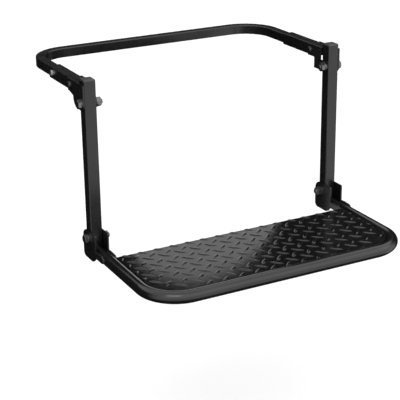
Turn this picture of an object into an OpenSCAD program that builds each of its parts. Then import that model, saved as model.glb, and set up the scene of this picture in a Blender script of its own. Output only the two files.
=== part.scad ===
// Folding step that hangs on a wheel by a hook over the tyre.
// X is to the right, Y points back towards the inner side of the tyre, Z is up.
// Origin: the middle of the seat on the tyre, midway between the two arms,
// level with their undersides, and midway between the posts and the hook bar.
// The modules below draw with z = 0 on the tread and y = 0 on the front of the
// posts; placed() then moves each sub-part to the origin above.

/* [Posts] */
// Distance between the centre lines of the two posts
post_spacing = 568; // [520:1:640]
// Height of the post tube above the tread
post_top = 349; // [345:1:400]
// Outside width of the square post tube
post_w = 25; // [24:0.1:25]
// Wall of the square tubes
wall = 2; // [1.6:0.1:2.4]
// Rounding of the outside corners of the square tubes
corner_r = 2; // [1:0.1:2.4]

/* [Hook] */
// Height of the hook pivot above the tread
hook_pivot_z = 303; // [285:1:305]
// Distance from the front of the posts to the back of the hook
hook_depth = 340; // [330:1:370]
// Outside width of the arm sleeves
sleeve_w = 25.4; // [25.4:0.1:26]
// Rear end of the arm sleeves
sleeve_end = 186; // [180:1:200]
// Outside width of the bent hook bar
bar_w = 21; // [20:0.1:21]
// Centre line bend radius of the hook bar
bar_bend = 74; // [50:1:90]
// Front end of the legs of the hook bar, inside the sleeves
leg_start = 125; // [122:1:130]

/* [Platform] */
// Distance from the front of the posts to the front of the platform
platform_depth = 296.7; // [270:0.1:330]
// Diameter of the round platform tube
frame_d = 25.4; // [24.6:0.1:25.4]
// Centre line bend radius of the platform tube
frame_bend = 75; // [60:1:100]
// Distance from the front of the posts to the rear edge of the tread
tread_gap = 68; // [64:1:90]
// Thickness of the tread sheet
tread_t = 3; // [2:0.5:4]
// How far the sheet reaches over the tube's inner side, so its lower edge meets the tube
tread_over = 1.35; // [0:0.05:1.4]

/* [Joints] */
// Thickness of the ears and brackets
plate_t = 3; // [2.5:0.5:4]
// Pivot bolt diameter
bolt_d = 10; // [8:1:10]
// Lock screw diameter
screw_d = 8; // [6:1:8]

/* [Hidden] */
$fn = 64;
e = 0.1;
half = post_spacing / 2;
pw = post_w / 2;
sw = sleeve_w / 2;
fr = frame_d / 2;
frame_z = -8.8;
side_in = sw;                       // inner face of every ear and bracket flange
side_out = sw + plate_t;
pivot_y = pw;
low_pivot_z = frame_z + fr + pw + 0.9;
arm_bot = hook_pivot_z + pw + 0.8;
arm_top = arm_bot + sleeve_w;
arm_z = (arm_bot + arm_top) / 2;
post_bottom = frame_z + 2.8;
sleeve_start = 28.5;
rivet_y = 70;
screw_y = 169;
bore = bolt_d + 0.2;
washer_t = 2;
head_af = bolt_d * 1.7;
ref_y = (post_w + hook_depth - bar_w) / 2;
ref_z = arm_bot;

// ---- 2-D helpers -------------------------------------------------------
module rsq(w, r) {
  square([w - 2 * r, w], center = true);
  square([w, w - 2 * r], center = true);
  for (i = [-1, 1], j = [-1, 1])
    translate([i * (w / 2 - r), j * (w / 2 - r)]) circle(r = r);
}
module ring_sq(w, t, r) {
  difference() {
    rsq(w, r);
    square([w - 2 * t, w - 2 * t], center = true);
  }
}
// takes the sharp corner off: centre of the arc, radius, and the corner's direction
module off_corner(x, y, r, i, j) {
  difference() {
    translate([i > 0 ? x : x - r - 1, j > 0 ? y : y - r - 1]) square([r + 1, r + 1]);
    translate([x, y]) circle(r = r);
  }
}
// extrude a 2-D shape drawn in (x, z) along +Y from y0 to y1
module along_y(y0, y1) {
  translate([0, y1, 0]) rotate([90, 0, 0]) linear_extrude(height = y1 - y0) union() { children(); }
}
// extrude a 2-D shape drawn in (y, z) along +X from x0 to x1
module along_x(x0, x1) {
  translate([x0, 0, 0]) rotate([90, 0, 90]) linear_extrude(height = x1 - x0) union() { children(); }
}
// cylinder along X, from x0 to x1, at (y, z)
module rod_x(x0, x1, y, z, d, n = 64) {
  translate([x0, y, z]) rotate([0, 90, 0]) cylinder(h = x1 - x0, d = d, $fn = n);
}
// hexagon head along X, its outer face at x1, with the usual chamfer
module hex_x(x0, x1, y, z, af) {
  h = x1 - x0;
  translate([x0, y, z]) rotate([0, 90, 0]) intersection() {
    cylinder(h = h, d = af / cos(30), $fn = 6);
    cylinder(h = h, r1 = af * 0.475 + 1.732 * h, r2 = af * 0.475, $fn = 64);
  }
}
// moves a sub-part so that the origin is at the seat on the tyre
module placed() {
  translate([0, -ref_y, -ref_z]) children();
}
// draw for the right side, or mirrored for the left side
module side(s) {
  if (s > 0) translate([half, 0, 0]) children();
  else mirror([1, 0, 0]) translate([half, 0, 0]) children();
}

// ---- posts -------------------------------------------------------------
module post() {
  difference() {
    translate([0, pw, post_bottom]) linear_extrude(height = post_top - post_bottom)
      ring_sq(post_w, wall, corner_r);
    for (z = [hook_pivot_z, low_pivot_z]) rod_x(-pw - 1, pw + 1, pivot_y, z, bore);
  }
}
module left_post() { color([0.03, 0.03, 0.035]) placed() side(-1) post(); }
module right_post() { color([0.03, 0.03, 0.035]) placed() side(1) post(); }

module cap_profile() {
  r = 3.5; h = 4;
  translate([-pw, 0]) square([post_w, h - r]);
  translate([-pw + r, 0]) square([post_w - 2 * r, h]);
  for (i = [-1, 1]) translate([i * (pw - r), h - r]) circle(r = r);
}
module post_cap() {
  translate([0, pw, post_top]) {
    intersection() {
      along_y(-pw, pw) cap_profile();
      along_x(-pw, pw) cap_profile();
      linear_extrude(height = 5) rsq(post_w, corner_r);
    }
    translate([-pw + wall + 0.1, -pw + wall + 0.1, -14])
      cube([post_w - 2 * wall - 0.2, post_w - 2 * wall - 0.2, 14.5]);
  }
}
module post_caps() { color([0.05, 0.05, 0.05]) placed() for (s = [-1, 1]) side(s) post_cap(); }

// ---- pivot hardware ----------------------------------------------------
head_x = side_out + 0.1 + washer_t;
nut_up = bolt_d * 0.8;
nut_low = bolt_d * 1.1;
module pivot_bolt(z, nut_h) {
  rod_x(-head_x - nut_h - 3, head_x, pivot_y, z, bolt_d);
  hex_x(head_x, head_x + bolt_d * 0.64, pivot_y, z, head_af);
}
module washer(z, x0) {
  difference() {
    rod_x(x0, x0 + washer_t, pivot_y, z, bolt_d * 2);
    rod_x(x0 - 1, x0 + washer_t + 1, pivot_y, z, bore);
  }
}
module pivot_nut(z, nut_h) {
  difference() {
    mirror([1, 0, 0]) hex_x(head_x, head_x + nut_h, pivot_y, z, head_af);
    rod_x(-head_x - nut_h - 2, -head_x + 1, pivot_y, z, bolt_d + 0.1);
  }
}
module upper_pivot_bolts() { color([0.1, 0.1, 0.11]) placed() for (s = [-1, 1]) side(s) pivot_bolt(hook_pivot_z, nut_up); }
module lower_pivot_bolts() { color([0.1, 0.1, 0.11]) placed() for (s = [-1, 1]) side(s) pivot_bolt(low_pivot_z, nut_low); }
module upper_pivot_washers() {
  color([0.12, 0.12, 0.13]) placed() for (s = [-1, 1], x = [side_out + 0.1, -side_out - 0.1 - washer_t])
    side(s) washer(hook_pivot_z, x);
}
module lower_pivot_washers() {
  color([0.12, 0.12, 0.13]) placed() for (s = [-1, 1], x = [side_out + 0.1, -side_out - 0.1 - washer_t])
    side(s) washer(low_pivot_z, x);
}
module upper_pivot_nuts() { color([0.1, 0.1, 0.11]) placed() for (s = [-1, 1]) side(s) pivot_nut(hook_pivot_z, nut_up); }
module lower_pivot_nuts() { color([0.1, 0.1, 0.11]) placed() for (s = [-1, 1]) side(s) pivot_nut(low_pivot_z, nut_low); }

// ---- hook: sleeves and ears -------------------------------------------
module sleeve() {
  difference() {
    translate([0, 0, arm_z]) along_y(sleeve_start, sleeve_end) ring_sq(sleeve_w, wall, corner_r);
    // relieved lower front corner
    along_x(-sw - 1, sw + 1)
      polygon([[sleeve_start - 1, arm_bot - 1], [sleeve_start - 1, arm_bot + 11],
               [sleeve_start + 2, arm_bot + 10], [57, arm_bot - 1]]);
    rod_x(-sw - 1, sw + 1, rivet_y, arm_z, screw_d + 0.2);
    rod_x(0, sw + 1, screw_y, arm_z, screw_d + 0.1);
  }
}
module left_arm_sleeve() { color([0.03, 0.03, 0.035]) placed() side(-1) sleeve(); }
module right_arm_sleeve() { color([0.03, 0.03, 0.035]) placed() side(1) sleeve(); }

ear_low = hook_pivot_z - 14;
module outer_ear() {
  difference() {
    along_x(side_in, side_out) difference() {
      polygon([[0, ear_low], [0, arm_top], [78, arm_top], [78, arm_bot],
               [71, arm_bot], [51.5, hook_pivot_z + 8], [51.5, ear_low]]);
      off_corner(12, ear_low + 12, 12, -1, -1);
      off_corner(31.5, ear_low + 20, 20, 1, -1);
    }
    rod_x(side_in - 1, side_out + 1, pivot_y, hook_pivot_z, bore);
    rod_x(side_in - 1, side_out + 1, rivet_y, arm_z, screw_d + 0.2);
  }
}
module inner_ear() {
  difference() {
    along_x(-side_out, -side_in) {
      polygon([[pivot_y, hook_pivot_z - 10.5], [52, hook_pivot_z - 10.5], [52, arm_bot],
               [78, arm_bot], [78, arm_top], [sleeve_start, arm_top], [sleeve_start, arm_bot - 1.3],
               [pivot_y, hook_pivot_z + 10.5]]);
      translate([pivot_y, hook_pivot_z]) circle(r = 10.5);
    }
    rod_x(-side_out - 1, -side_in + 1, pivot_y, hook_pivot_z, bore);
    rod_x(-side_out - 1, -side_in + 1, rivet_y, arm_z, screw_d + 0.2);
  }
}
module left_outer_ear() { color([0.03, 0.03, 0.035]) placed() side(-1) outer_ear(); }
module left_inner_ear() { color([0.03, 0.03, 0.035]) placed() side(-1) inner_ear(); }
module right_outer_ear() { color([0.03, 0.03, 0.035]) placed() side(1) outer_ear(); }
module right_inner_ear() { color([0.03, 0.03, 0.035]) placed() side(1) inner_ear(); }

// rivet through the ears and the sleeve, its heads stepped to a low dome
module rivet_head() {
  translate([side_out, rivet_y, arm_z]) rotate([0, 90, 0]) {
    cylinder(h = 1.6, d = 14);
    translate([0, 0, 1.5]) cylinder(h = 1.5, r1 = 6.9, r2 = 4.4);
  }
}
module rivet() {
  rod_x(-side_out - 0.5, side_out + 0.5, rivet_y, arm_z, screw_d);
  rivet_head();
  mirror([1, 0, 0]) rivet_head();
}
module arm_rivets() { color([0.1, 0.1, 0.11]) placed() for (s = [-1, 1]) side(s) rivet(); }

// lock screw that bears on the hook bar leg
module lock_screw() {
  rod_x(bar_w / 2 + 0.15, sw, screw_y, arm_z, screw_d);
  difference() {
    intersection() {
      rod_x(sw, sw + 4, screw_y, arm_z, 14);
      translate([sw, screw_y, arm_z]) rotate([0, 90, 0]) cylinder(h = 4, r1 = 10, r2 = 6);
    }
    rod_x(sw + 1.8, sw + 5, screw_y, arm_z, 5.8, 6);
  }
}
module lock_screws() { color([0.35, 0.35, 0.36]) placed() for (s = [-1, 1]) side(s) lock_screw(); }

// ---- hook bar ----------------------------------------------------------
back_y = hook_depth - bar_w / 2;
module bar_leg() {
  translate([half, 0, arm_z]) along_y(leg_start, back_y - bar_bend) ring_sq(bar_w, wall, corner_r);
}
module bar_corner() {
  translate([half - bar_bend, back_y - bar_bend, arm_z])
    rotate_extrude(angle = 90, $fn = 96) translate([bar_bend, 0]) ring_sq(bar_w, wall, corner_r);
}
module hook_bar() {
  color([0.03, 0.03, 0.035]) placed() {
    for (m = [0, 1]) mirror([m, 0, 0]) { bar_leg(); bar_corner(); }
    translate([0, back_y, arm_z]) along_x(-half + bar_bend, half - bar_bend) ring_sq(bar_w, wall, corner_r);
  }
}

// ---- platform ----------------------------------------------------------
front_y = -(platform_depth - fr);
module tube_ring() {
  difference() { circle(r = fr); circle(r = fr - wall); }
}
module platform_frame() {
  color([0.03, 0.03, 0.035]) placed() translate([0, 0, frame_z]) {
    for (m = [0, 1]) mirror([m, 0, 0]) {
      translate([half, 0, 0]) along_y(front_y + frame_bend, -0.2) tube_ring();
      translate([half - frame_bend, front_y + frame_bend, 0]) rotate([0, 0, -90])
        rotate_extrude(angle = 90, $fn = 96) translate([frame_bend, 0]) tube_ring();
    }
    translate([0, front_y, 0]) along_x(-half + frame_bend, half - frame_bend) tube_ring();
  }
}

tx = half - fr;
ty = front_y + fr;
tr = frame_bend - fr;
module tread_outline() {
  r = tr + tread_over; x = tx + tread_over; y0 = ty - tread_over; y1 = -tread_gap;
  translate([-x + r, y0]) square([2 * (x - r), y1 - y0]);
  translate([-x, y0 + r]) square([2 * x, y1 - y0 - r]);
  for (i = [-1, 1]) translate([i * (x - r), y0 + r]) circle(r = r, $fn = 96);
}
module tread_plate() {
  color([0.04, 0.04, 0.045]) placed() translate([0, 0, -tread_t]) linear_extrude(height = tread_t) tread_outline();
}

// ---- lower brackets: a plate on each side of the post and the tube ------
br_back = 35.5; br_front = -25; br_toe = -60; br_top = 35; br_bot = -26.3; toe_bot = -13;
module bracket_plate() {
  r1 = 3; r2 = 18; r3 = 10; r4 = 20;
  x4 = br_front + 0.2 + r4; z4 = br_bot + r4;
  difference() {
    polygon([[br_toe, toe_bot], [br_toe, 0], [br_front, 0], [br_front, br_top], [br_back, br_top],
             [br_back, br_bot], [br_front + 0.2, br_bot], [br_front + 0.2, toe_bot]]);
    off_corner(br_toe + r1, -r1, r1, -1, 1);
    off_corner(br_toe + r1, toe_bot + r1, r1, -1, -1);
    off_corner(br_front + r1, br_top - r1, r1, -1, 1);
    off_corner(br_back - r2, br_top - r2, r2, 1, 1);
    off_corner(br_back - r3, br_bot + r3, r3, 1, -1);
    // large curve at the lower front corner, down from the toe
    difference() {
      translate([x4 - r4 - 1, br_bot - 1]) square([r4 + 1, toe_bot - br_bot + 1]);
      translate([x4, z4]) circle(r = r4);
    }
  }
}
module bracket(x0) {
  difference() {
    along_x(x0, x0 + plate_t) bracket_plate();
    rod_x(x0 - 1, x0 + plate_t + 1, pivot_y, low_pivot_z, bore);
  }
}
module left_outer_bracket() { color([0.03, 0.03, 0.035]) placed() side(-1) bracket(side_in); }
module left_inner_bracket() { color([0.03, 0.03, 0.035]) placed() side(-1) bracket(-side_out); }
module right_outer_bracket() { color([0.03, 0.03, 0.035]) placed() side(1) bracket(side_in); }
module right_inner_bracket() { color([0.03, 0.03, 0.035]) placed() side(1) bracket(-side_out); }

left_post();
right_post();
post_caps();
upper_pivot_bolts();
upper_pivot_washers();
upper_pivot_nuts();
lower_pivot_bolts();
lower_pivot_washers();
lower_pivot_nuts();
left_arm_sleeve();
right_arm_sleeve();
left_outer_ear();
left_inner_ear();
right_outer_ear();
right_inner_ear();
arm_rivets();
lock_screws();
hook_bar();
platform_frame();
tread_plate();
left_outer_bracket();
left_inner_bracket();
right_outer_bracket();
right_inner_bracket();
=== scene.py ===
import math

import bmesh
import bpy
from mathutils import Matrix, Vector


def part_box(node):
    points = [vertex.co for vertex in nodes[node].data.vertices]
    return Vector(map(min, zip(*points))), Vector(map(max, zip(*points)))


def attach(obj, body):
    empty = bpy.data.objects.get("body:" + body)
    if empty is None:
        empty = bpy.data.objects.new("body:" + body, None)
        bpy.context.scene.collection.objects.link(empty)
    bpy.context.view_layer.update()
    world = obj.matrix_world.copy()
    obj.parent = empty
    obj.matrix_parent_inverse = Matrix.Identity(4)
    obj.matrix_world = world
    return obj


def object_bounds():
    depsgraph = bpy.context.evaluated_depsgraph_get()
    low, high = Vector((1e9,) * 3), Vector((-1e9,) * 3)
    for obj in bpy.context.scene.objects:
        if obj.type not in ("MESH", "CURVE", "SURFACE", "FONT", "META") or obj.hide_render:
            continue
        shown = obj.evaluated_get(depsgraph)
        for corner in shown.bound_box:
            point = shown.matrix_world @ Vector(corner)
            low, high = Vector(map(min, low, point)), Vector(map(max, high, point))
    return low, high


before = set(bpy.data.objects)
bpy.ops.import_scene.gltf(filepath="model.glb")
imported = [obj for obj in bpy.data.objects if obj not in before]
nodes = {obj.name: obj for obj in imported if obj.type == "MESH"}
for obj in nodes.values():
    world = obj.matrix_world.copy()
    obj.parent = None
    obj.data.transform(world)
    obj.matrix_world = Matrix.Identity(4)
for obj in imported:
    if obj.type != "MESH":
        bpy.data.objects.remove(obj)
cad_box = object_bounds()
scene = bpy.context.scene

# ---------------------------------------------------------------------------
# reference lengths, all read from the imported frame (metres)
# ---------------------------------------------------------------------------
tread_lo, tread_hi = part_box("tread_plate")
tube_lo, tube_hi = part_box("platform_frame")
brk_lo, brk_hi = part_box("right_outer_bracket")
post_lo, post_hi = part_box("right_post")
bolt_lo, bolt_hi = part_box("upper_pivot_bolts")
lbolt_lo, lbolt_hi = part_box("lower_pivot_bolts")
nut_lo, nut_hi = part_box("upper_pivot_nuts")
TREAD_Z = tread_hi.z
TUBE_R = (tube_hi.z - tube_lo.z) / 2
TUBE_Z = (tube_hi.z + tube_lo.z) / 2
TUBE_X = tube_hi.x - TUBE_R
POST_Y = post_lo.y                       # front face of the posts

# ---------------------------------------------------------------------------
# camera
# ---------------------------------------------------------------------------
az, el, roll = -0.4818922, 0.3661490, -0.0135695
back = Vector((math.sin(az) * math.cos(el), -math.cos(az) * math.cos(el), math.sin(el)))
fwd = -back
right = fwd.cross(Vector((0, 0, 1))).normalized()
up = right.cross(fwd)
cam_x = math.cos(roll) * right + math.sin(roll) * up
cam_y = -math.sin(roll) * right + math.cos(roll) * up
cam_data = bpy.data.cameras.new("camera")
cam_data.sensor_width = 36.0
cam_data.lens = 36.0 * 1192.539 / 400.0
cam_data.clip_start, cam_data.clip_end = 0.05, 60.0
cam = bpy.data.objects.new("camera", cam_data)
cam.matrix_world = Matrix(((cam_x.x, cam_y.x, back.x, -1.13799),
                           (cam_x.y, cam_y.y, back.y, -2.26051),
                           (cam_x.z, cam_y.z, back.z, 0.64491),
                           (0, 0, 0, 1)))
scene.collection.objects.link(cam)
scene.camera = cam
scene.view_settings.view_transform = "Standard"
scene.view_settings.look = "None"


# ---------------------------------------------------------------------------
# small node helpers
# ---------------------------------------------------------------------------
class Tree:
    def __init__(self, tree):
        self.t = tree
        tree.nodes.clear()

    def add(self, kind, **settings):
        n = self.t.nodes.new(kind)
        for k, v in settings.items():
            setattr(n, k, v)
        return n

    def link(self, a, b):
        self.t.links.new(a, b)

    def value(self, op, a, b=None, clamp=False):
        n = self.add("ShaderNodeMath", operation=op, use_clamp=clamp)
        for i, v in enumerate((a, b)):
            if v is None:
                continue
            if isinstance(v, (int, float)):
                n.inputs[i].default_value = v
            else:
                self.link(v, n.inputs[i])
        return n.outputs[0]

    def remap(self, v, a, b, c, d, smooth=False):
        n = self.add("ShaderNodeMapRange")
        n.interpolation_type = "SMOOTHSTEP" if smooth else "LINEAR"
        self.link(v, n.inputs["Value"])
        for name, x in (("From Min", a), ("From Max", b), ("To Min", c), ("To Max", d)):
            n.inputs[name].default_value = x
        return n.outputs["Result"]

    def noise(self, co, scale, detail=2.0, rough=0.5):
        n = self.add("ShaderNodeTexNoise")
        self.link(co, n.inputs["Vector"])
        n.inputs["Scale"].default_value = scale
        n.inputs["Detail"].default_value = detail
        n.inputs["Roughness"].default_value = rough
        return n.outputs["Fac"]

    def mix(self, fac, a, b):
        n = self.add("ShaderNodeMix", data_type="RGBA")
        self.link(fac, n.inputs[0])
        for sock, v in ((n.inputs[6], a), (n.inputs[7], b)):
            if isinstance(v, tuple):
                sock.default_value = (*v, 1.0)
            else:
                self.link(v, sock)
        return n.outputs[2]


def new_material(name):
    m = bpy.data.materials.new(name)
    m.use_nodes = True
    t = Tree(m.node_tree)
    out = t.add("ShaderNodeOutputMaterial")
    bsdf = t.add("ShaderNodeBsdfPrincipled")
    t.link(bsdf.outputs[0], out.inputs["Surface"])
    co = t.add("ShaderNodeTexCoord").outputs["Object"]
    return m, t, bsdf, co


def edge_mask(t, radius, lo, hi):
    """1 on convex edges, 0 on flats, from the difference between a rounded and the true normal."""
    bev = t.add("ShaderNodeBevel", samples=6)
    bev.inputs["Radius"].default_value = radius
    geo = t.add("ShaderNodeNewGeometry")
    dot = t.add("ShaderNodeVectorMath", operation="DOT_PRODUCT")
    t.link(bev.outputs[0], dot.inputs[0])
    t.link(geo.outputs["Normal"], dot.inputs[1])
    return t.remap(dot.outputs["Value"], hi, lo, 0.0, 1.0, smooth=True)


def painted(name, base, rough, peel=0.06, round_r=0.0007, wear=0.35, dust=0.005, fine=0.2):
    """Powder coat over steel: orange peel, fine grain, uneven gloss, thin coat and rubbed places on the edges."""
    m, t, b, co = new_material(name)
    wide = t.noise(co, 9.0, 3.0)
    mid = t.noise(co, 60.0, 4.0, 0.6)
    peel_n = t.noise(co, 420.0, 2.0)
    grain = t.noise(co, 2600.0, 1.0)
    scuff = t.noise(co, 190.0, 6.0, 0.72)
    # colour: a deep black that is never quite even
    dark = tuple(c * 0.72 for c in base)
    light = tuple(c * 1.35 + dust * 0.25 for c in base)
    colour = t.mix(t.remap(wide, 0.3, 0.7, 0.0, 1.0), dark, light)
    colour = t.mix(t.remap(mid, 0.62, 0.8, 0.0, 0.5), colour, tuple(c + dust for c in base))
    # edges: thinner coat, slightly greyer and rougher, only here and there
    edge = edge_mask(t, 0.0011, 0.80, 0.985)
    worn = t.value("MULTIPLY", edge, t.remap(scuff, 0.52, 0.70, 0.0, 1.0, smooth=True))
    colour = t.mix(t.value("MULTIPLY", worn, wear), colour, (0.060, 0.058, 0.056))
    t.link(colour, b.inputs["Base Color"])
    r = t.remap(mid, 0.25, 0.75, rough - 0.045, rough + 0.055)
    r = t.value("ADD", r, t.value("MULTIPLY", worn, 0.16))
    r = t.value("ADD", r, t.remap(scuff, 0.66, 0.82, 0.0, 0.10))
    t.link(r, b.inputs["Roughness"])
    b.inputs["IOR"].default_value = 1.5
    # normal: rounded edges, orange peel, grain
    bev = t.add("ShaderNodeBevel", samples=6)
    bev.inputs["Radius"].default_value = round_r
    b1 = t.add("ShaderNodeBump")
    b1.inputs["Strength"].default_value = peel
    b1.inputs["Distance"].default_value = 0.0006
    t.link(peel_n, b1.inputs["Height"])
    t.link(bev.outputs[0], b1.inputs["Normal"])
    b2 = t.add("ShaderNodeBump")
    b2.inputs["Strength"].default_value = fine * 0.25
    b2.inputs["Distance"].default_value = 0.00015
    t.link(grain, b2.inputs["Height"])
    t.link(b1.outputs[0], b2.inputs["Normal"])
    t.link(b2.outputs[0], b.inputs["Normal"])
    return m


def metal(name, base, rough, metallic=1.0, stain=(0.02, 0.02, 0.022), amount=0.3, turn_axis=None):
    """Plated or oiled steel: fine grain, uneven tint, rounded edges."""
    m, t, b, co = new_material(name)
    blot = t.noise(co, 140.0, 4.0, 0.65)
    fine = t.noise(co, 1800.0, 2.0)
    colour = t.mix(t.remap(blot, 0.35, 0.7, 0.0, amount), base, stain)
    edge = edge_mask(t, 0.0008, 0.82, 0.98)
    colour = t.mix(t.value("MULTIPLY", edge, 0.45), colour, tuple(min(1.0, c * 1.5 + 0.06) for c in base))
    t.link(colour, b.inputs["Base Color"])
    b.inputs["Metallic"].default_value = metallic
    t.link(t.remap(blot, 0.2, 0.8, rough - 0.07, rough + 0.10), b.inputs["Roughness"])
    bev = t.add("ShaderNodeBevel", samples=6)
    bev.inputs["Radius"].default_value = 0.0005
    bp = t.add("ShaderNodeBump")
    bp.inputs["Strength"].default_value = 0.12
    bp.inputs["Distance"].default_value = 0.0002
    t.link(fine, bp.inputs["Height"])
    t.link(bev.outputs[0], bp.inputs["Normal"])
    t.link(bp.outputs[0], b.inputs["Normal"])
    return m


def plastic(name, base, rough):
    """Moulded cap: fine spark grain and slightly softened edges."""
    m, t, b, co = new_material(name)
    grain = t.noise(co, 1500.0, 3.0, 0.6)
    wide = t.noise(co, 30.0, 2.0)
    t.link(t.mix(t.remap(wide, 0.3, 0.7, 0.0, 1.0), base, tuple(c * 1.6 for c in base)), b.inputs["Base Color"])
    t.link(t.remap(grain, 0.3, 0.7, rough - 0.06, rough + 0.08), b.inputs["Roughness"])
    bev = t.add("ShaderNodeBevel", samples=6)
    bev.inputs["Radius"].default_value = 0.0009
    bp = t.add("ShaderNodeBump")
    bp.inputs["Strength"].default_value = 0.35
    bp.inputs["Distance"].default_value = 0.0002
    t.link(grain, bp.inputs["Height"])
    t.link(bev.outputs[0], bp.inputs["Normal"])
    t.link(bp.outputs[0], b.inputs["Normal"])
    return m


M_POST = painted("post_powder_coat", (0.0036, 0.0034, 0.0034), 0.25)
M_HOOK = painted("hook_powder_coat", (0.0030, 0.0029, 0.0030), 0.27)
M_PLATE = painted("bracket_powder_coat", (0.0042, 0.0039, 0.0039), 0.28, wear=0.5)
M_TUBE = painted("tube_powder_coat", (0.0040, 0.0040, 0.0044), 0.17, wear=0.3)
M_TREAD = painted("tread_powder_coat", (0.0026, 0.0026, 0.0027), 0.15, peel=0.05, round_r=0.0006, wear=0.45, dust=0.004)
M_WELD = painted("weld_powder_coat", (0.0050, 0.0048, 0.0048), 0.32, peel=0.16, wear=0.2)
M_BOLT = metal("dark_zinc_steel", (0.16, 0.16, 0.165), 0.32, metallic=1.0, stain=(0.05, 0.05, 0.055))
M_SCREW = metal("zinc_plated_steel", (0.42, 0.42, 0.43), 0.30, metallic=1.0, stain=(0.16, 0.16, 0.17))
M_CAP = plastic("moulded_cap", (0.016, 0.016, 0.017), 0.48)

finish_of = {
    "left_post": M_POST, "right_post": M_POST, "post_caps": M_CAP,
    "upper_pivot_bolts": M_BOLT, "upper_pivot_washers": M_BOLT, "upper_pivot_nuts": M_BOLT,
    "lower_pivot_bolts": M_BOLT, "lower_pivot_washers": M_BOLT, "lower_pivot_nuts": M_BOLT,
    "left_arm_sleeve": M_HOOK, "right_arm_sleeve": M_HOOK, "hook_bar": M_HOOK,
    "left_outer_ear": M_PLATE, "left_inner_ear": M_PLATE, "right_outer_ear": M_PLATE, "right_inner_ear": M_PLATE,
    "left_outer_bracket": M_PLATE, "left_inner_bracket": M_PLATE,
    "right_outer_bracket": M_PLATE, "right_inner_bracket": M_PLATE,
    "arm_rivets": M_BOLT, "lock_screws": M_SCREW,
    "platform_frame": M_TUBE, "tread_plate": M_TREAD,
}
for name, ob in nodes.items():
    mat = finish_of[name]
    if not ob.data.materials:
        ob.data.materials.append(mat)
    for i in range(len(ob.data.materials)):
        ob.data.materials[i] = mat


# ---------------------------------------------------------------------------
# mesh helpers
# ---------------------------------------------------------------------------
def finish_mesh(name, bm, mat, body, smooth_angle=40.0):
    bmesh.ops.recalc_face_normals(bm, faces=bm.faces[:])
    for f in bm.faces:
        f.smooth = True
    lim = math.radians(smooth_angle)
    for e in bm.edges:
        if len(e.link_faces) == 2 and e.calc_face_angle(0.0) > lim:
            e.smooth = False
    me = bpy.data.meshes.new(name)
    bm.to_mesh(me)
    bm.free()
    me.materials.append(mat)
    ob = bpy.data.objects.new(name, me)
    scene.collection.objects.link(ob)
    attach(ob, body)
    return ob


def rings(bm, loops, close_ends=True):
    """Joins loops of equal length into a skin, and closes both ends."""
    vs = [[bm.verts.new(p) for p in loop] for loop in loops]
    n = len(vs[0])
    for a, b in zip(vs, vs[1:]):
        for i in range(n):
            j = (i + 1) % n
            bm.faces.new((a[i], a[j], b[j], b[i]))
    if close_ends:
        bm.faces.new(list(reversed(vs[0])))
        bm.faces.new(vs[-1])
    return vs


# ---------------------------------------------------------------------------
# tread lugs: two sets of raised bars at right angles, on one square lattice
# ---------------------------------------------------------------------------
LUG_L, LUG_W, LUG_H, PITCH = 0.0275, 0.0078, 0.0015, 0.0354
LEVELS = ((1.10, -0.0007), (1.10, 0.00004), (1.0, 0.00018), (0.93, 0.00052), (0.84, 0.00088),
          (0.70, 0.00120), (0.50, 0.00141), (0.26, 0.00149))


def lug_outline(n=14):
    pts = []
    for i in range(n):                                     # one side, then the other
        u = math.cos(math.pi * i / n)
        pts.append((u, (1 - u * u) ** 0.82))
    for i in range(n):
        u = -math.cos(math.pi * i / n)
        pts.append((u, -((1 - u * u) ** 0.82)))
    return pts


OUT = lug_outline()
OVER = 0.00135                            # the sheet reaches this far over the tube
edge_x, edge_front, edge_rear = tread_hi.x - 0.0007 - OVER, tread_lo.y + 0.0007 + OVER, tread_hi.y - 0.0007
corner = 0.0623
cx, cy = tread_hi.x - OVER - corner, tread_lo.y + OVER + corner


def inside(x, y, margin=0.0):
    if abs(x) > edge_x - margin or y < edge_front + margin or y > edge_rear - margin:
        return False
    if abs(x) > cx and y < cy:
        return math.hypot(abs(x) - cx, y - cy) < corner - 0.0007 - margin
    return True


def add_lug(bm, x, y, turn):
    c, s = math.cos(turn), math.sin(turn)

    def place(u, v, k, z):
        a, b = u * k * LUG_L / 2, v * k * LUG_W / 2
        return Vector((x + c * a - s * b, y + s * a + c * b, TREAD_Z + z))

    outline = [place(u, v, 1.0, 0) for u, v in OUT]
    hits = [inside(p.x, p.y) for p in outline]
    if not any(hits):
        return
    in_corner = [abs(p.x) > cx and p.y < cy for p in outline]
    if not all(hits) and any(in_corner):
        return
    tmp = bmesh.new()
    vs = [[tmp.verts.new(place(u, v, k, z)) for u, v in OUT] for k, z in LEVELS]
    n = len(OUT)
    for a, b in zip(vs, vs[1:]):
        for i in range(n):
            j = (i + 1) % n
            tmp.faces.new((a[i], a[j], b[j], b[i]))
    tmp.faces.new(list(reversed(vs[0])))
    top = tmp.verts.new(place(0, 0, 0, LUG_H))
    for i in range(n):
        tmp.faces.new((vs[-1][i], vs[-1][(i + 1) % n], top))
    if not all(hits):
        for co, no in (((edge_x, 0, 0), (1, 0, 0)), ((-edge_x, 0, 0), (-1, 0, 0)),
                       ((0, edge_front, 0), (0, -1, 0)), ((0, edge_rear, 0), (0, 1, 0))):
            geom = tmp.verts[:] + tmp.edges[:] + tmp.faces[:]
            res = bmesh.ops.bisect_plane(tmp, geom=geom, plane_co=co, plane_no=no, clear_outer=True)
            cut = [g for g in res["geom_cut"] if isinstance(g, bmesh.types.BMEdge)]
            if cut:
                bmesh.ops.edgeloop_fill(tmp, edges=cut)
    me = bpy.data.meshes.new("tmp")
    tmp.to_mesh(me)
    tmp.free()
    bm.from_mesh(me)
    bpy.data.meshes.remove(me)


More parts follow.
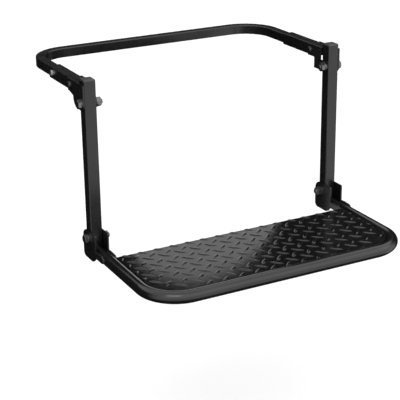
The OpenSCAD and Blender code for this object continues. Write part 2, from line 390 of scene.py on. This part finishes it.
bm = bmesh.new()
x0, y0 = tread_hi.x - OVER - 0.0123, tread_hi.y - 0.0205
for i in range(-1, 17):
    for j in range(-1, 8):
        add_lug(bm, x0 - i * PITCH, y0 - j * PITCH, math.radians(45))
        add_lug(bm, x0 - (i + 0.5) * PITCH, y0 - (j + 0.5) * PITCH, math.radians(-45))
finish_mesh("tread_lugs", bm, M_TREAD, "platform", 50)


# ---------------------------------------------------------------------------
# weld beads: a half-round bead with overlapping ripples
# ---------------------------------------------------------------------------
def bead(bm, path, side, lift, width, height, ripple=0.0028):
    """path: points; side and lift: functions of the index giving the bead's width and height directions."""
    dist, loops = 0.0, []
    n = len(path)
    for i, p in enumerate(path):
        if i:
            dist += (path[i] - path[i - 1]).length
        end = min(1.0, min(i, n - 1 - i) / 4.0)
        end = math.sin(end * math.pi / 2) * 0.85 + 0.15
        k = (dist / ripple) % 1.0
        w = width / 2 * end * (1.0 + 0.10 * (0.5 - k))
        h = height * end * (1.0 + 0.22 * (0.5 - k))
        s, l = side(i), lift(i)
        loop = []
        for a in range(0, 9):
            th = math.pi * a / 8
            loop.append(p + s * (w * math.cos(th)) + l * (h * math.sin(th)))
        loop.append(p - s * (w * 0.9) - l * (height * 0.35))
        loop.append(p + s * (w * 0.9) - l * (height * 0.35))
        loops.append(loop)
    rings(bm, loops)


def stretch(a, b, step=0.0004):
    n = max(8, int((b - a).length / step))
    return [a + (b - a) * (i / n) for i in range(n + 1)]


bm = bmesh.new()
# stitch welds in the angle between the sheet's underside and the round tube, seen from below
rim_z = tread_lo.z
for s in (-1, 1):
    for ya in (-0.030, -0.105):
        a = Vector((s * (tread_hi.x - 0.0016), tread_hi.y + ya, rim_z - 0.0006))
        b = a + Vector((0, -0.034, 0))
        lift = (Vector((-s * 0.75, 0, -0.66))).normalized()
        sd = lift.cross(Vector((0, 1, 0))).normalized()
        bead(bm, stretch(a, b), lambda i, q=sd: q, lambda i, q=lift: q, 0.0062, 0.0022)
for xa in (-0.170, -0.0175, 0.135):
    a = Vector((xa, tread_lo.y + 0.0016, rim_z - 0.0006))
    b = a + Vector((0.036, 0, 0))
    lift = Vector((0, 0.75, -0.66)).normalized()
    sd = lift.cross(Vector((1, 0, 0))).normalized()
    bead(bm, stretch(a, b), lambda i, q=sd: q, lambda i, q=lift: q, 0.0062, 0.0022)
finish_mesh("tread_stitch_welds", bm, M_WELD, "platform", 60)

# straight beads where the toes of the bracket plates sit on the tube: outer and inner side of each pair
bm = bmesh.new()
plates = [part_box(n) for n in ("left_outer_bracket", "left_inner_bracket", "right_outer_bracket", "right_inner_bracket")]
for lo, hi in plates:
    s = 1 if lo.x + hi.x > 0 else -1
    tube_x = s * TUBE_X
    outer = 1 if (lo.x + hi.x) / 2 > tube_x else -1         # which way this plate faces, away from the tube
    face_x = hi.x if outer > 0 else lo.x                    # the plate's free face
    near_x = lo.x if outer > 0 else hi.x                    # the face against the tube
    # front edge of the toe, short upright bead down onto the tube
    a = Vector((near_x + outer * 0.0004, lo.y - 0.0002, TUBE_Z + TUBE_R * 0.62))
    b = Vector((near_x + outer * 0.0004, lo.y - 0.0002, TUBE_Z - TUBE_R * 0.30))
    lift = Vector((outer * 0.45, -1, 0)).normalized()
    sd = lift.cross(Vector((0, 0, 1))).normalized()
    bead(bm, stretch(a, b), lambda i, q=sd: q, lambda i, q=lift: q, 0.0052, 0.0024)
    # upper edge of the toe, along the tube
    a = Vector((near_x + outer * 0.0002, lo.y + 0.004, TREAD_Z + 0.0001))
    b = Vector((near_x + outer * 0.0002, lo.y + 0.030, TREAD_Z + 0.0001))
    lift = Vector((-outer * 0.55, 0, 1)).normalized()
    sd = lift.cross(Vector((0, 1, 0))).normalized()
    bead(bm, stretch(a, b), lambda i, q=sd: q, lambda i, q=lift: q, 0.0048, 0.0018)
finish_mesh("bracket_toe_welds", bm, M_WELD, "platform", 60)


# ---------------------------------------------------------------------------
# threads on the ends of the pivot bolts
# ---------------------------------------------------------------------------
def threads(name, lo, hi, nut_inner_x, body):
    bm = bmesh.new()
    cyl_y, cyl_z = (lo.y + hi.y) / 2, (lo.z + hi.z) / 2
    inner_end = nut_inner_x - 0.0030
    for s in (-1, 1):
        pitch, turns, seg = 0.00125, 2.2, 40
        n = int(turns * seg)
        loops = []
        for i in range(n + 1):
            a = 2 * math.pi * i / seg
            x = inner_end + 0.00008 + pitch * i / seg
            e = math.sin(math.pi * min(1.0, min(i, n - i) / (seg * 0.35)) / 2)
            rad = 0.00480 + 0.00045 * e
            c, q = math.cos(a), math.sin(a)

            def at(dx, r):
                return Vector((s * (x + dx), cyl_y + r * c, cyl_z + r * q))
            loops.append([at(-0.00052, 0.0046), at(-0.00010, rad), at(0.00010, rad), at(0.00052, 0.0046)])
        rings(bm, loops)
    return finish_mesh(name, bm, M_BOLT, body, 30)


def nut_end(node):
    """Inner face of the nuts: the smallest distance of the node from the middle."""
    return min(abs(v.co.x) for v in nodes[node].data.vertices)


threads("upper_bolt_threads", bolt_lo, bolt_hi, nut_end("upper_pivot_nuts"), "posts")
threads("lower_bolt_threads", lbolt_lo, lbolt_hi, nut_end("lower_pivot_nuts"), "posts")

# ---------------------------------------------------------------------------
# floor, world and lights
# ---------------------------------------------------------------------------
floor_z = cad_box[0].z - 0.40
bm = bmesh.new()
bmesh.ops.create_grid(bm, x_segments=8, y_segments=8, size=14)
me = bpy.data.meshes.new("floor")
bm.to_mesh(me)
bm.free()
floor = bpy.data.objects.new("floor", me)
floor.location = (0, 0, floor_z)
scene.collection.objects.link(floor)
fm, ft, fb, fco = new_material("floor_pale")
ft.link(ft.mix(ft.remap(ft.noise(fco, 0.7, 2.0), 0.3, 0.7, 0.0, 1.0), (0.80, 0.80, 0.80), (0.82, 0.82, 0.82)), fb.inputs["Base Color"])
fb.inputs["Roughness"].default_value = 0.9
fb.inputs["Specular IOR Level"].default_value = 0.1
me.materials.append(fm)
floor.visible_glossy = False

world = bpy.data.worlds.new("studio")
scene.world = world
world.use_nodes = True
w = Tree(world.node_tree)
wout = w.add("ShaderNodeOutputWorld")
bg = w.add("ShaderNodeBackground")
w.link(bg.outputs[0], wout.inputs["Surface"])
direction = w.add("ShaderNodeTexCoord").outputs["Generated"]
sep = w.add("ShaderNodeSeparateXYZ")
w.link(direction, sep.inputs[0])
dome = w.remap(sep.outputs["Z"], 0.47, 0.57, 0.0, 1.0, smooth=True)
low = w.remap(sep.outputs["Y"], -0.30, 0.30, 1.30, 0.02, smooth=True)
deep = w.remap(sep.outputs["Z"], -0.72, -0.50, 0.03, 1.0, smooth=True)
low = w.value("MULTIPLY", low, deep)
front_band = w.value("MULTIPLY", w.remap(sep.outputs["Z"], 0.02, 0.22, 0.0, 1.0, smooth=True),
                     w.remap(sep.outputs["Y"], -0.25, -0.60, 0.0, 1.0, smooth=True))
lvl = w.value("ADD", w.value("ADD", w.value("MULTIPLY", dome, 1.45), w.value("MULTIPLY", front_band, 0.65)), w.value("MULTIPLY", low, w.value("SUBTRACT", 1.0, dome)))
comb = w.add("ShaderNodeCombineColor")
for i in range(3):
    w.link(lvl, comb.inputs[i])
w.link(comb.outputs[0], bg.inputs["Color"])
bg.inputs["Strength"].default_value = 1.0


def glow(name, level):
    """One-sided plain emitter for things that only show in reflections."""
    m = bpy.data.materials.new(name)
    m.use_nodes = True
    t = Tree(m.node_tree)
    out = t.add("ShaderNodeOutputMaterial")
    em = t.add("ShaderNodeEmission")
    em.inputs["Color"].default_value = (level, level, level, 1)
    clear = t.add("ShaderNodeBsdfTransparent")
    sw = t.add("ShaderNodeMixShader")
    t.link(t.add("ShaderNodeNewGeometry").outputs["Backfacing"], sw.inputs[0])
    t.link(em.outputs[0], sw.inputs[1])
    t.link(clear.outputs[0], sw.inputs[2])
    t.link(sw.outputs[0], out.inputs["Surface"])
    return m


def reflected_only(name, bm, mat):
    me = bpy.data.meshes.new(name)
    bm.to_mesh(me)
    bm.free()
    me.materials.append(mat)
    ob = bpy.data.objects.new(name, me)
    scene.collection.objects.link(ob)
    ob.visible_camera = ob.visible_diffuse = ob.visible_shadow = ob.visible_transmission = False
    ob.visible_volume_scatter = False
    return ob


# the step is shown on a wheel: stand-ins for the dark tyre and the bright rim, seen only as reflections
TYRE_R, RIM_R = 0.366, 0.213
y_front, y_rear = POST_Y + 0.060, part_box("hook_bar")[1].y - 0.030
hub_z = -TYRE_R - 0.004
bm = bmesh.new()
seg = 96
ra, rb = [], []
for i in range(seg):
    a = 2 * math.pi * i / seg
    ra.append(bm.verts.new((TYRE_R * math.cos(a), y_front, hub_z + TYRE_R * math.sin(a))))
    rb.append(bm.verts.new((TYRE_R * math.cos(a), y_rear, hub_z + TYRE_R * math.sin(a))))
for i in range(seg):
    j = (i + 1) % seg
    bm.faces.new((ra[i], ra[j], rb[j], rb[i]))
bm.faces.new(ra)
bm.faces.new(rb)
bmesh.ops.recalc_face_normals(bm, faces=bm.faces[:])
reflected_only("tyre_card", bm, glow("tyre_dark", 0.018))
bm = bmesh.new()
ring = [bm.verts.new((RIM_R * math.cos(2 * math.pi * i / seg), y_front - 0.004, hub_z + RIM_R * math.sin(2 * math.pi * i / seg))) for i in range(seg)]
face = bm.faces.new(ring)
face.normal_update()
if face.normal.y > 0:
    face.normal_flip()
reflected_only("rim_card", bm, glow("rim_bright", 0.95))


def area(name, loc, target, sx, sy, radiance, colour=(1, 1, 1)):
    d = bpy.data.lights.new(name, "AREA")
    d.shape = "RECTANGLE"
    d.size, d.size_y = sx, sy
    d.energy = radiance * math.pi * sx * sy
    d.color = colour
    ob = bpy.data.objects.new(name, d)
    ob.location = loc
    ob.rotation_mode = "QUATERNION"
    ob.rotation_quaternion = (Vector(target) - Vector(loc)).to_track_quat("-Z", "Y")
    scene.collection.objects.link(ob)
    ob.visible_camera = False
    return ob


# soft key from the front left, high up, and a weaker one from the right
area("key", (-1.3, -1.9, 2.1), (0, -0.2, -0.1), 1.5, 1.5, 2.2)
area("fill", (2.2, -1.2, 1.2), (0, -0.2, -0.15), 1.2, 1.6, 0.7)
